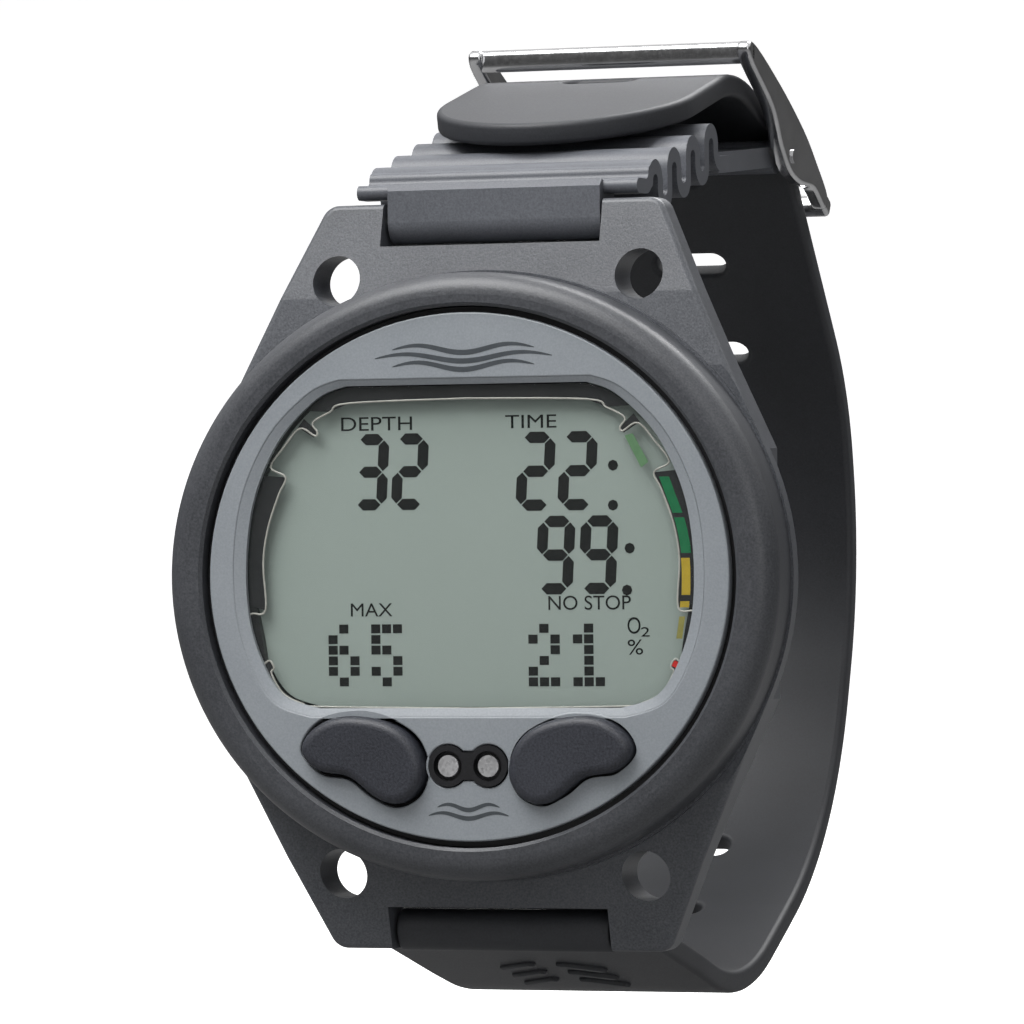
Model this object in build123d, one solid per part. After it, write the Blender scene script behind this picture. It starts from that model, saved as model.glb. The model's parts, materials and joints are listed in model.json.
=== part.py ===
from build123d import *
import math
import os

# Wrist dive computer, in millimetres. +Z points to 12 o'clock, -Y out of the face towards the
# reader, +X to the reader's right. The origin is the centre of the case back, which bears on the wrist.

# Levels through the case, from the face (most negative) to the back (zero).
RING_FRONT = -23.0
MASK_FRONT = -22.5
MASK_BACK = -21.2
PLATE_BACK = -18.8
LENS_FRONT = -22.0
LENS_SEAT = -19.6
LCD_FRONT = -18.4
LCD_BACK = -16.4
BOARD_FRONT = -13.6
BOARD_BACK = -12.4
FRAME_FRONT = -17.0
FRAME_BACK = -8.0
SKIRT_WAIST = -15.4
SHELL_SPLIT = -9.0
REAR_WAIST, REAR_FLOOR, REAR_RIM = -5.2, -1.9, -0.9
BACK = 0.0

# Half-axes (X, Z) of the oval outlines.
SKIRT = (34.6, 32.6)
SKIRT_BACK = (31.6, 30.2)
RING_OUTER = (34.3, 32.3)
MODULE = (30.0, 28.6)
MODULE_CAVITY = (28.2, 26.8)
MODULE_FLANGE = (31.2, 29.8)
MASK = (29.3, 28.0)
BORE_GAP = 0.1
FLANGE_DEPTH = 1.0

# Display window, measured from the centre of the face.
WINDOW_TOP, WINDOW_BOTTOM, WINDOW_HALF = 20.4, -13.9, 25.2
WINDOW_TOP_HALF, WINDOW_BOTTOM_HALF = 13.6, 17.0
WINDOW_LEDGE = 1.3
LCD_WIDE, LCD_TALL, LCD_MIDDLE = 52.0, 34.3, 2.55
INNER = (27.6, 26.2)
ZEBRA_Z, ZEBRA_HALF, ZEBRA_WIDE = (-12.6, 17.6), 19.5, 1.6

# Lugs, with the four bungee holes.
LUG_TIP, LUG_TIP_HALF, LUG_TIP_FRONT, LUG_TIP_BACK = 40.1, 19.0, -12.9, -8.3
LUG_HOLE_X, LUG_HOLE_Z, LUG_HOLE_R = 17.2, 31.9, 2.7
NOTCH_HALF = 12.5
STRAP_PIN_Y, STRAP_PIN_Z = -10.4, 38.1
KNUCKLE_R, KNUCKLE_HALF = 2.3, 12.1
NOTCH_FLOOR = STRAP_PIN_Z - KNUCKLE_R - 0.3
BAR_R, BAR_TIP_R, RUNNING_GAP = 0.8, 0.5, 0.05
BAR_HALF, BAR_TIP_REACH = 12.2, 15.3

# Fasteners.
CASE_SCREWS = [(-13.0, 22.0), (13.0, 22.0), (-19.5, -16.9), (19.5, -16.9)]
CASE_SCREW_R, CASE_SCREW_HEAD_R, SCREW_BOSS_R, CASE_SCREW_SEAT = 0.8, 1.5, 1.9, -1.5
CASE_SCREW_LENGTH, CASE_SCREW_HOLE_END = 12.5, -14.6
RING_SCREW_ANGLES = [48.0, 132.0, 228.0, 312.0]
RING_SCREW_OVAL = (32.8, 31.1)
RING_SCREW_R, RING_SCREW_HEAD_R, RING_SCREW_SEAT = 0.6, 1.1, -9.6
RING_SCREW_LENGTH, RING_SCREW_HOLE_END = 10.2, -20.2

# Buttons, either side of the water contacts.
BUTTON_X, BUTTON_Z = 10.5, -19.2
BUTTON_FRONT, BUTTON_BACK = -24.0, -21.3
BUTTON_FLOOR = -20.4
BUTTON_GAP = 0.3
STEM_R, STEM_TIP = 1.5, -15.4
BUTTON_BOSS_R, BUTTON_BOSS_BACK = 3.8, -16.6
SPRING_WELL_R, SPRING_WELL_FLOOR = 2.7, -17.8
SEAL_THICK = 0.8
CONTACT_X, CONTACT_Z, CONTACT_R, CONTACT_EYE_R = 2.25, -20.0, 1.15, 2.2
CONTACT_STEM_R = 0.7

# Battery compartment.
CELL_R, CELL_THICK = 12.25, 5.0
WELL_R, WELL_WALL_R, WELL_FRONT, WELL_FLOOR = 12.6, 17.0, -9.6, -8.6
CAP_R, CAP_SEAT, CAP_TAB_R, CAP_GAP = 14.4, -2.2, 15.4, 0.2
CAP_TAB_ARC, CAP_LOCK_TURN = 40.0, 60.0
CAP_GROOVE_OUTER, CAP_GROOVE_INNER, CAP_GROOVE_BACK = 13.9, 12.9, -1.4
CELL_FRONT = -8.0
CONTACT_LEG_X, CONTACT_LEG_Z = 3.0, 5.0

# Pressure sensor under the case back, and the buzzer glued inside it.
SENSOR_Z, SENSOR_R, SENSOR_BACK, PORT_R = 21.4, 2.6, -3.2, 0.6
BUZZER_X, BUZZER_R = -22.2, 4.2

# Strap and buckle, seen from the side: (Y, Z) points.
STRAP_THICK, STRAP_HALF, STRAP_LUG_HALF = 2.5, 14.7, 16.0
STRAP_POINTS = [(-7.4, -38.7), (24.0, -47.6), (59.5, -33.0), (71.2, -0.3), (67.5, 20.3),
                (44.25, 49.3), (27.5, 55.05), (-2.0, 47.7)]
STRAP_RADII = [34.0, 42.0, 44.0, 30.0, 8.0, 20.0]
STRAP_TAPER_START, STRAP_TAPER_END = 8.0, 44.0
STRAP_START, TAIL_END = -7.2, -1.9
BELLOWS_THICK, BELLOWS_PITCH, BELLOWS_SLOPE, BELLOWS_FOLDS = 1.6, 6.4, 0.25, 4
BELLOWS_START, BELLOWS_HEIGHT, BELLOWS_SWING, BELLOWS_BEND = -7.2, 41.0, 2.3, 1.5
FLAT_THICK = 2.3
PIN = (41.0, 46.9)
PIN_R, PIN_KNUCKLE_R = 0.8, 1.9
FRONT_BAR = (26.8, 57.9)
REAR_BAR = (54.3, 41.8)
BUCKLE_INNER, BUCKLE_OUTER, BAR_SIZE = 15.2, 16.8, 2.2
SLOT_LONG, SLOT_WIDE, SLOT_PITCH = 8.4, 3.0, 13.0
SLOTS_BELOW, SLOTS_ABOVE, ENGAGED_SLOT = 8, 2, (46.8, 46.2)
TONGUE_THICK, TONGUE_HALF, TONGUE_KNUCKLE_R = 0.9, 3.0, 1.5
TONGUE_NOTCH_HALF, TONGUE_NOTCH_FLOOR = 3.6, 37.6

os.makedirs("parts", exist_ok=True)


def slab(sketch, back, front):
    """The outline, drawn in X and Z, as a solid between two levels of the case."""
    return extrude(Plane.XZ.offset(-back) * sketch, amount=back - front, dir=(0, -1, 0))


def taper(front_sketch, front, back_sketch, back):
    """A solid that blends from one outline to another between two levels of the case."""
    return loft([Plane.XZ.offset(-front) * front_sketch, Plane.XZ.offset(-back) * back_sketch])


def oval(axes, grow=0.0):
    return Ellipse(axes[0] + grow, axes[1] + grow)


def side(sketch, half):
    """The outline, drawn in Y and Z, as a solid from -half to +half in X."""
    return extrude(Plane.YZ * sketch, amount=half, both=True)


def cross_rod(radius, centre, x_low, x_high):
    """A round rod along X, centred on the (Y, Z) point."""
    end = Plane.YZ.offset(x_low) * Pos(*centre) * Circle(radius)
    return extrude(end, amount=x_high - x_low, dir=(1, 0, 0))


def block(x, y, z):
    """A box from its low and high limits along each axis."""
    size = [high - low for low, high in (x, y, z)]
    middle = [(high + low) / 2 for low, high in (x, y, z)]
    return Pos(*middle) * Box(*size)


def write(name, *solids):
    shape = solids[0] if len(solids) == 1 else Compound(children=[s.solid() for s in solids])
    shape.label = name
    export_step(shape, f"parts/{name}.step")


def window_outline(inset=0.0):
    """The display window: a flat top and bottom, joined by bowed sides."""
    grow = Vector(-inset * 0.7, 0)
    side_points = [Vector(WINDOW_TOP_HALF, WINDOW_TOP - inset), Vector(21.2, 14.9 - inset * 0.5) + grow,
                   Vector(WINDOW_HALF, 2.6) + grow, Vector(23.4, -9.2 + inset * 0.3) + grow,
                   Vector(WINDOW_BOTTOM_HALF, WINDOW_BOTTOM + inset * 0.3)]
    right = Spline(*side_points, tangents=[(1, -0.12), (-1, -0.05)])
    left = Spline(*[Vector(-p.X, p.Y) for p in side_points], tangents=[(-1, -0.12), (1, -0.05)])
    top = Line(left @ 0, right @ 0)
    bottom = Line(right @ 1, left @ 1)
    return make_face(Wire([top, right, bottom, left]))


def button_outline(sign, grow=0.0):
    """The kidney-shaped outline of the right (1) or left (-1) button."""
    points = [(4.9, -19.8), (6.6, -16.7), (11.4, -14.8), (16.6, -15.6), (18.6, -18.3),
              (16.6, -20.5), (13.4, -21.1), (10.9, -22.9), (8.2, -24.0), (5.7, -22.8)]
    grown = []
    for k, (x, z) in enumerate(points):
        before, after = points[k - 1], points[(k + 1) % len(points)]
        reach = grow / math.dist(before, after)
        grown.append((sign * (x - reach * (after[1] - before[1])), z + reach * (after[0] - before[0])))
    return make_face(Spline(*grown[::sign], periodic=True))


def contact_outline(grow=0.0):
    """The figure-of-eight surround of the two water contacts."""
    eyes = Pos(-CONTACT_X, CONTACT_Z) * Circle(CONTACT_EYE_R + grow)
    eyes += Pos(CONTACT_X, CONTACT_Z) * Circle(CONTACT_EYE_R + grow)
    return eyes + Pos(0, CONTACT_Z) * Rectangle(2 * CONTACT_X, 2.9 + 2 * grow)


def lug_outline():
    """Both lugs in one: straight flanks from the tips, tangent to the oval skirt."""
    lean = math.atan2(LUG_TIP / SKIRT[1], LUG_TIP_HALF / SKIRT[0])
    reach = math.hypot(LUG_TIP / SKIRT[1], LUG_TIP_HALF / SKIRT[0])
    touch = lean - math.acos(1 / reach)
    x, z = SKIRT[0] * math.cos(touch), SKIRT[1] * math.sin(touch)
    tips = Polygon(
        (LUG_TIP_HALF, LUG_TIP), (x, z), (x, -z), (LUG_TIP_HALF, -LUG_TIP),
        (-LUG_TIP_HALF, -LUG_TIP), (-x, -z), (-x, z), (-LUG_TIP_HALF, LUG_TIP),
        align=None,
    )
    corners = [v for v in tips.vertices() if abs(v.Y) > LUG_TIP - 1]
    return fillet(corners, 2.0)


def lug_side_profile():
    """The lugs from the side: a plate whose faces slope back towards the tips."""
    upper = [(FRAME_FRONT + 0.2, 22.0), (-15.6, 30.0), (LUG_TIP_FRONT, LUG_TIP),
             (LUG_TIP_BACK, LUG_TIP), (-10.4, 30.0), (-11.2, 22.0)]
    return Polygon(*upper, *[(y, -z) for y, z in reversed(upper)], align=None)


def lug_plate():
    plate = slab(lug_outline(), FRAME_BACK, FRAME_FRONT) & side(lug_side_profile(), 40.0)
    flanks = [e for e in plate.edges() if abs(e.center().X) > LUG_TIP_HALF + 0.5]
    plate = chamfer([e for e in flanks if e.center().Y > -12.0], 1.7)
    fronts = [e for e in plate.edges() if e.center().Y < -12.6 and abs(e.center().Z) > 24.0]
    return fillet(fronts, 0.7)


def lug_frame():
    body = lug_plate()
    skirt = slab(oval(SKIRT), SKIRT_WAIST, FRAME_FRONT)
    skirt += taper(oval(SKIRT), SKIRT_WAIST, oval(SKIRT_BACK), FRAME_BACK)
    body += skirt
    reach = BAR_TIP_REACH + 0.3
    for sign in (1, -1):
        notch = sorted((sign * NOTCH_FLOOR, sign * (LUG_TIP + 1)))
        body -= block((-NOTCH_HALF, NOTCH_HALF), (FRAME_FRONT, FRAME_BACK + 1), notch)
        body -= cross_rod(BAR_TIP_R + RUNNING_GAP, (STRAP_PIN_Y, sign * STRAP_PIN_Z), -reach, reach)
        for x in (-LUG_HOLE_X, LUG_HOLE_X):
            body -= slab(Pos(x, sign * LUG_HOLE_Z) * Circle(LUG_HOLE_R), FRAME_BACK + 1, FRAME_FRONT - 1)
    body -= slab(oval(MODULE, BORE_GAP), FRAME_BACK + 1, FRAME_FRONT - 1)
    for x, z in ring_screw_places():
        body -= slab(Pos(x, z) * Circle(RING_SCREW_R + RUNNING_GAP), FRAME_BACK + 1, FRAME_FRONT - 1)
        body -= slab(Pos(x, z) * Circle(RING_SCREW_HEAD_R + 0.1), FRAME_BACK + 1, RING_SCREW_SEAT)
    return body


def ring_screw_places():
    angles = [math.radians(a) for a in RING_SCREW_ANGLES]
    return [(RING_SCREW_OVAL[0] * math.cos(a), RING_SCREW_OVAL[1] * math.sin(a)) for a in angles]


def bezel_ring():
    ring = slab(oval(RING_OUTER), FRAME_FRONT, RING_FRONT)
    ring = fillet(ring.edges().group_by(Axis.Y)[0], 2.4)
    ring -= slab(oval(MODULE, BORE_GAP), FRAME_FRONT + 1, RING_FRONT - 1)
    ring -= slab(oval(MODULE_FLANGE, BORE_GAP), FRAME_FRONT + 1, FRAME_FRONT - FLANGE_DEPTH)
    inner = [e for e in ring.edges().group_by(Axis.Y)[0] if e.length < 186]
    ring = chamfer(inner, 0.35)
    for x, z in ring_screw_places():
        ring -= slab(Pos(x, z) * Circle(RING_SCREW_R + RUNNING_GAP), FRAME_FRONT + 1, RING_SCREW_HOLE_END)
    return ring


def face_mask():
    mask = slab(oval(MASK), MASK_BACK, MASK_FRONT)
    mask -= slab(window_outline(), MASK_BACK + 1, MASK_FRONT - 1)
    for sign in (1, -1):
        mask -= slab(button_outline(sign, BUTTON_GAP), MASK_BACK + 1, MASK_FRONT - 1)
    mask -= slab(contact_outline(0.1), MASK_BACK + 1, MASK_FRONT - 1)
    return mask


def front_housing():
    shell = slab(oval(MODULE), SHELL_SPLIT, MASK_BACK)
    shell += slab(oval(MODULE_FLANGE), FRAME_FRONT, FRAME_FRONT - FLANGE_DEPTH)
    shell -= slab(oval(MODULE_CAVITY), SHELL_SPLIT + 1, PLATE_BACK)
    for x, z in CASE_SCREWS:
        shell += slab(Pos(x, z) * Circle(SCREW_BOSS_R), SHELL_SPLIT, PLATE_BACK)
    for x in (-BUTTON_X, BUTTON_X):
        shell += slab(Pos(x, BUTTON_Z) * Circle(BUTTON_BOSS_R), BUTTON_BOSS_BACK, PLATE_BACK)
    for x, z in CASE_SCREWS:
        shell -= slab(Pos(x, z) * Circle(CASE_SCREW_R + RUNNING_GAP), SHELL_SPLIT + 1, CASE_SCREW_HOLE_END)
    for sign in (1, -1):
        shell -= slab(button_outline(sign, BUTTON_GAP), BUTTON_FLOOR, MASK_BACK - 1)
    for x in (-BUTTON_X, BUTTON_X):
        shell -= slab(Pos(x, BUTTON_Z) * Circle(SPRING_WELL_R), SPRING_WELL_FLOOR, MASK_BACK)
        shell -= slab(Pos(x, BUTTON_Z) * Circle(STEM_R + RUNNING_GAP), BUTTON_BOSS_BACK + 1, MASK_BACK)
    shell -= slab(window_outline(-0.05), LENS_SEAT, MASK_BACK - 1)
    shell -= slab(window_outline(WINDOW_LEDGE), PLATE_BACK + 1, MASK_BACK - 1)
    for x in (-CONTACT_X, CONTACT_X):
        shell -= slab(Pos(x, CONTACT_Z) * Circle(CONTACT_STEM_R + RUNNING_GAP), PLATE_BACK + 1, MASK_BACK - 1)
    return shell


def display_window():
    return slab(window_outline(0.1), LENS_SEAT, LENS_FRONT)


def lcd_outline():
    """The display glass: a rectangle, trimmed by the round cavity."""
    return Pos(0, LCD_MIDDLE) * Rectangle(LCD_WIDE, LCD_TALL) & oval(INNER)


def lcd_mask():
    frame = slab(lcd_outline(), LCD_FRONT, PLATE_BACK)
    return frame - slab(window_outline(WINDOW_LEDGE + 0.9), LCD_FRONT + 1, PLATE_BACK - 1)


def zebra_strips():
    """The conductive rubber strips between the display glass and the board."""
    strip = Rectangle(2 * ZEBRA_HALF, ZEBRA_WIDE)
    return [slab(Pos(0, z) * strip, BOARD_FRONT, LCD_BACK) for z in ZEBRA_Z]


def lcd_carrier():
    """The frame that holds the display glass and its strips off the board."""
    frame = slab(lcd_outline(), BOARD_FRONT, LCD_BACK)
    low, high = ZEBRA_Z[0] + 2.0, ZEBRA_Z[1] - 2.0
    frame -= block((-22.0, 22.0), (LCD_BACK - 1, BOARD_FRONT + 1), (low, high))
    for strip in zebra_strips():
        frame -= strip
    return frame


def circuit_board():
    board = slab(oval(INNER), BOARD_BACK, BOARD_FRONT)
    for x, z in CASE_SCREWS:
        board -= slab(Pos(x, z) * Circle(SCREW_BOSS_R + 0.2), BOARD_BACK + 1, BOARD_FRONT - 1)
    return board


def board_components():
    places = [
        (-9.0, 4.5, 9.0, 9.0), (6.5, 6.0, 7.0, 7.0), (8.0, -6.0, 4.0, 1.8), (-14.0, -8.5, 2.4, 1.4),
        (-9.0, -8.5, 2.4, 1.4), (-4.0, -8.5, 2.4, 1.4), (16.0, 1.0, 3.0, 2.0), (16.0, -4.0, 3.0, 2.0),
    ]
    return [block((x - w / 2, x + w / 2), (BOARD_BACK, BOARD_BACK + 1.3), (z - d / 2, z + d / 2))
            for x, z, w, d in places]


def key_switches():
    solids = []
    for x in (-BUTTON_X, BUTTON_X):
        switch = slab(Pos(x, BUTTON_Z) * Circle(2.4), BOARD_FRONT, BOARD_FRONT - 0.5)
        solids.append(switch + slab(Pos(x, BUTTON_Z) * Circle(1.4), BOARD_FRONT - 0.5, BOARD_FRONT - 0.8))
    return solids


def button(sign):
    cap = slab(button_outline(sign), BUTTON_BACK, BUTTON_FRONT)
    cap = fillet(cap.edges().group_by(Axis.Y)[0], 1.0)
    return cap + slab(Pos(sign * BUTTON_X, BUTTON_Z) * Circle(STEM_R), STEM_TIP, BUTTON_BACK)


def button_clip(x):
    """A retaining clip on the stem, which stops the button against the back of its boss."""
    back = BUTTON_BOSS_BACK + 0.4
    ring = Pos(x, BUTTON_Z) * (Circle(2.4) - Circle(STEM_R))
    gap = Pos(x, BUTTON_Z - 2.0) * Rectangle(1.6, 2.4)
    return slab(ring - gap, back, BUTTON_BOSS_BACK)


def button_seal(x):
    ring = Pos(x, BUTTON_Z) * (Circle(SPRING_WELL_R) - Circle(STEM_R + RUNNING_GAP))
    return slab(ring, SPRING_WELL_FLOOR, SPRING_WELL_FLOOR - SEAL_THICK)


def button_spring(x):
    """The return spring round the stem, between the seal and the cap."""
    wire_r, coil_r = 0.2, 2.15
    start = SPRING_WELL_FLOOR - SEAL_THICK - wire_r
    length = start - BUTTON_BACK - wire_r
    helix = Helix(pitch=length / 3, height=length, radius=coil_r)
    section = Plane(origin=helix @ 0, z_dir=helix % 0) * Circle(wire_r)
    coil = sweep(section, path=helix)
    return Pos(x, start, BUTTON_Z) * Rot(90, 0, 0) * coil


def contact_surround():
    body = slab(contact_outline(), MASK_BACK, MASK_FRONT - 0.15)
    for x in (-CONTACT_X, CONTACT_X):
        body -= slab(Pos(x, CONTACT_Z) * Circle(1.6), MASK_BACK - 0.5, MASK_FRONT - 1)
        body -= slab(Pos(x, CONTACT_Z) * Circle(CONTACT_STEM_R + RUNNING_GAP), MASK_BACK + 1, MASK_FRONT)
    return body


def contact_pin(x):
    pin = slab(Pos(x, CONTACT_Z) * Circle(CONTACT_R), MASK_BACK - 0.5, MASK_FRONT + 0.05)
    return pin + slab(Pos(x, CONTACT_Z) * Circle(CONTACT_STEM_R), BOARD_FRONT, MASK_BACK - 0.5)


def rear_case():
    shell = slab(oval(MODULE), REAR_WAIST, SHELL_SPLIT)
    shell += taper(oval(MODULE), REAR_WAIST, oval(MODULE, -1.5), REAR_RIM)
    shell += taper(oval(MODULE, -1.5), REAR_RIM, oval(MODULE, -2.4), BACK)
    shell -= slab(oval(MODULE_CAVITY), REAR_WAIST, SHELL_SPLIT - 1)
    shell -= taper(oval(MODULE_CAVITY), REAR_WAIST, oval(MODULE_CAVITY, -1.2), REAR_FLOOR)
    shell += slab(Circle(WELL_WALL_R), BACK, WELL_FRONT)
    shell -= slab(Circle(WELL_R), CAP_SEAT, WELL_FLOOR)
    shell -= slab(Circle(CAP_R + CAP_GAP), BACK + 1, CAP_SEAT)
    shell -= slab(Circle(CAP_TAB_R + CAP_GAP), -1.0, CAP_SEAT)
    for start in (0.0, 180.0):
        entry = tab_outline(start + CAP_LOCK_TURN, CAP_TAB_ARC + 6.0, CAP_TAB_R + CAP_GAP)
        shell -= slab(entry, BACK + 1, CAP_SEAT)
    for x, z in CASE_SCREWS:
        shell += slab(Pos(x, z) * Circle(SCREW_BOSS_R + 0.4), CASE_SCREW_SEAT, SHELL_SPLIT)
        shell -= slab(Pos(x, z) * Circle(CASE_SCREW_R + 0.1), BACK + 1, SHELL_SPLIT - 1)
        shell -= slab(Pos(x, z) * Circle(CASE_SCREW_HEAD_R + 0.1), BACK + 1, CASE_SCREW_SEAT)
    shell -= slab(oval(MODULE, -0.5) - oval(MODULE, -1.3), SHELL_SPLIT + 1.0, SHELL_SPLIT - 1)
    for x in (-CONTACT_LEG_X, CONTACT_LEG_X):
        shell -= slab(Pos(x, CONTACT_LEG_Z) * Circle(0.6), WELL_FLOOR + 1, WELL_FRONT - 1)
    shell -= slab(Pos(0, SENSOR_Z) * Circle(PORT_R), BACK + 1, SENSOR_BACK)
    return shell & slab(oval(MODULE), BACK, WELL_FRONT)


def case_gasket():
    return slab(oval(MODULE, -0.5) - oval(MODULE, -1.3), SHELL_SPLIT + 1.0, SHELL_SPLIT)


def tab_outline(middle, arc, radius):
    """A sector of a disc, centred on an angle, for the bayonet tabs and the gaps that let them in."""
    half = math.radians(arc / 2)
    centre = math.radians(middle)
    reach = radius / math.cos(half) + 1
    ends = [(reach * math.cos(centre + s * half), reach * math.sin(centre + s * half)) for s in (-1, 1)]
    return Polygon((0, 0), *ends, align=None) & Circle(radius)


def battery_cap():
    cap = slab(Circle(CAP_R), BACK, CAP_SEAT + 0.05)
    for start in (0.0, 180.0):
        cap += slab(tab_outline(start, CAP_TAB_ARC, CAP_TAB_R), -1.1, CAP_SEAT + 0.05)
    cap -= slab(cap_groove(), CAP_GROOVE_BACK, CAP_SEAT - 1)
    coin_slot = Rectangle(17.0, 2.0) & Circle(8.4)
    return cap - slab(coin_slot, BACK + 1, -1.0)


def cap_groove():
    return Circle(CAP_GROOVE_OUTER) - Circle(CAP_GROOVE_INNER)


def battery_cap_seal():
    return slab(cap_groove(), CAP_GROOVE_BACK, CAP_SEAT)


def coin_cell():
    step = CELL_FRONT + 0.6
    can = slab(Circle(CELL_R), CELL_FRONT + CELL_THICK, step)
    return can + slab(Circle(CELL_R - 1.4), step, CELL_FRONT)


def battery_contact():
    """The leaf in front of the cell, with its leg to the board."""
    back = CELL_FRONT - 0.05
    leaf = slab(Pos(0, CONTACT_LEG_Z) * Rectangle(11.0, 4.0), back, back - 0.3)
    return leaf + slab(Pos(-CONTACT_LEG_X, CONTACT_LEG_Z) * Rectangle(0.8, 0.8), back, BOARD_BACK)


def cell_contact_spring():
    """The contact on the cap: a ring with a bar across it, whose button meets the can of the cell."""
    back = CAP_SEAT + 0.05
    ring = slab(Circle(8.0) - Circle(6.8) + Rectangle(1.6, 15.0), back, back - 0.3)
    return ring + slab(Circle(1.2), back - 0.3, CELL_FRONT + CELL_THICK + 0.05)


def pressure_sensor():
    base = slab(Pos(0, SENSOR_Z) * Circle(SENSOR_R + 0.8), BOARD_BACK + 1.2, BOARD_BACK)
    return base + slab(Pos(0, SENSOR_Z) * Circle(SENSOR_R), SENSOR_BACK, BOARD_BACK + 1.2)


def sensor_seal():
    return slab(Pos(0, SENSOR_Z) * (Circle(SENSOR_R - 0.2) - Circle(1.3)), REAR_FLOOR, SENSOR_BACK)


def buzzer():
    disc = slab(Pos(BUZZER_X, 0) * Circle(BUZZER_R), REAR_FLOOR, REAR_FLOOR - 0.4)
    return disc + slab(Pos(BUZZER_X, 0) * Circle(BUZZER_R - 1.2), REAR_FLOOR - 0.4, REAR_FLOOR - 0.8)


def screw(x, z, head_level, length, radius, head_radius, head_height):
    """A socket-head screw: its head bears at head_level, and its shank runs towards the face."""
    head_back = head_level + head_height
    shank = slab(Pos(x, z) * Circle(radius), head_level, head_level - length)
    head = slab(Pos(x, z) * Circle(head_radius), head_back, head_level)
    return shank + head - slab(Pos(x, z) * RegularPolygon(head_radius * 0.45, 6), head_back, head_level + 0.3)


def spring_bar(sign, tip_reach):
    """A strap bar: a hollow barrel, with a sprung tip in each end."""
    centre = (STRAP_PIN_Y, sign * STRAP_PIN_Z)
    barrel = cross_rod(BAR_R, centre, -BAR_HALF, BAR_HALF) - cross_rod(BAR_TIP_R, centre, -BAR_HALF, BAR_HALF)
    tips = [cross_rod(BAR_TIP_R, centre, tip_reach - 6.0, tip_reach),
            cross_rod(BAR_TIP_R, centre, -tip_reach, 6.0 - tip_reach)]
    return barrel, tips


def bellows_path():
    """The middle line of the bellows strap: a shoulder, four round folds, then a flat run to the pin."""
    points = [(-11.0, 41.45)]
    for k in range(BELLOWS_FOLDS):
        y = BELLOWS_START + k * BELLOWS_PITCH
        for leg, (first, second) in enumerate(((-1, 1), (1, -1))):
            leg_y = y + leg * BELLOWS_PITCH / 2
            middle = BELLOWS_HEIGHT + BELLOWS_SLOPE * (leg_y - BELLOWS_START)
            points += [(leg_y, middle + first * BELLOWS_SWING), (leg_y, middle + second * BELLOWS_SWING)]
    points = [points[0], (BELLOWS_START, points[0][1]), *points[2:-1], (points[-2][0], 44.9), (38.4, 46.7)]
    return FilletPolyline(*points, radius=BELLOWS_BEND)


def band(path, thick):
    """A strip of even thickness along a line of runs and arcs."""
    return make_face(offset(path, amount=thick / 2, side=Side.BOTH))


def short_strap():
    body = side(band(bellows_path(), BELLOWS_THICK), STRAP_LUG_HALF)
    for sign in (1, -1):
        edge = sorted((sign * STRAP_HALF, sign * (STRAP_LUG_HALF + 1)))
        body -= block(edge, (20.0, 45.0), (40.0, 50.0))
    body += side(band(Line((18.6, 45.15), (39.0, 46.75)), FLAT_THICK), STRAP_HALF)
    body += side(Pos(*PIN) * Circle(PIN_KNUCKLE_R), STRAP_HALF)
    web = Polygon((STRAP_PIN_Y - KNUCKLE_R, STRAP_PIN_Z), (STRAP_PIN_Y + KNUCKLE_R, STRAP_PIN_Z),
                  (-7.9, 41.6), (-12.0, 42.2), (-12.7, 41.5), align=None)
    root = web + Pos(STRAP_PIN_Y, STRAP_PIN_Z) * Circle(KNUCKLE_R)
    body += side(root, KNUCKLE_HALF)
    body -= cross_rod(BAR_R + RUNNING_GAP, (STRAP_PIN_Y, STRAP_PIN_Z), -20, 20)
    body -= cross_rod(PIN_R + RUNNING_GAP, PIN, -20, 20)
    return body - block((-TONGUE_NOTCH_HALF, TONGUE_NOTCH_HALF), (TONGUE_NOTCH_FLOOR, 50.0), (40.0, 52.0))


def strap_taper():
    """The strap from below: full width at the lug, narrowing towards the back of the wrist."""
    right = [(STRAP_LUG_HALF, -20.0), (STRAP_LUG_HALF, STRAP_TAPER_START), (STRAP_HALF, STRAP_TAPER_END),
             (STRAP_HALF, 80.0)]
    return Polygon(*right, *[(-x, y) for x, y in reversed(right)], align=None)


def long_strap():
    """The slotted strap, from the lower lug round the wrist to the free end."""
    path = FilletPolyline(*STRAP_POINTS, radius=STRAP_RADII)
    sheet = band(path, STRAP_THICK)
    body = side(sheet, STRAP_LUG_HALF) & (Pos(0, 0, -60) * extrude(strap_taper(), amount=40, dir=(0, 0, 1)))
    body += side(sheet, STRAP_HALF) & block((-20, 20), (-20, 90), (-20, 70))
    body -= block((-20, 20), (-20, STRAP_START), (-60, -30))
    round_centre = TAIL_END + STRAP_HALF
    rounding = block((-20, 20), (TAIL_END - 5, round_centre), (40, 70))
    body -= rounding - Pos(0, round_centre, 55) * Cylinder(STRAP_HALF, 60)
    for place, along in slot_places(path):
        direction = Vector(0, along.X, along.Y)
        plane = Plane(origin=(0, place.X, place.Y), x_dir=(1, 0, 0), z_dir=direction.cross(Vector(1, 0, 0)))
        body -= extrude(plane * SlotOverall(SLOT_LONG, SLOT_WIDE), amount=4.0, both=True)
    return body


def long_strap_end():
    """The moulded end of the slotted strap, round the lower bar."""
    root = Polygon((STRAP_PIN_Y, -36.0), (STRAP_START, -37.46), (STRAP_START, -40.06), (STRAP_PIN_Y, -40.3),
                   align=None)
    root += Pos(STRAP_PIN_Y, -STRAP_PIN_Z) * Circle(KNUCKLE_R)
    return side(root, KNUCKLE_HALF) - cross_rod(BAR_R + RUNNING_GAP, (STRAP_PIN_Y, -STRAP_PIN_Z), -20, 20)


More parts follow.
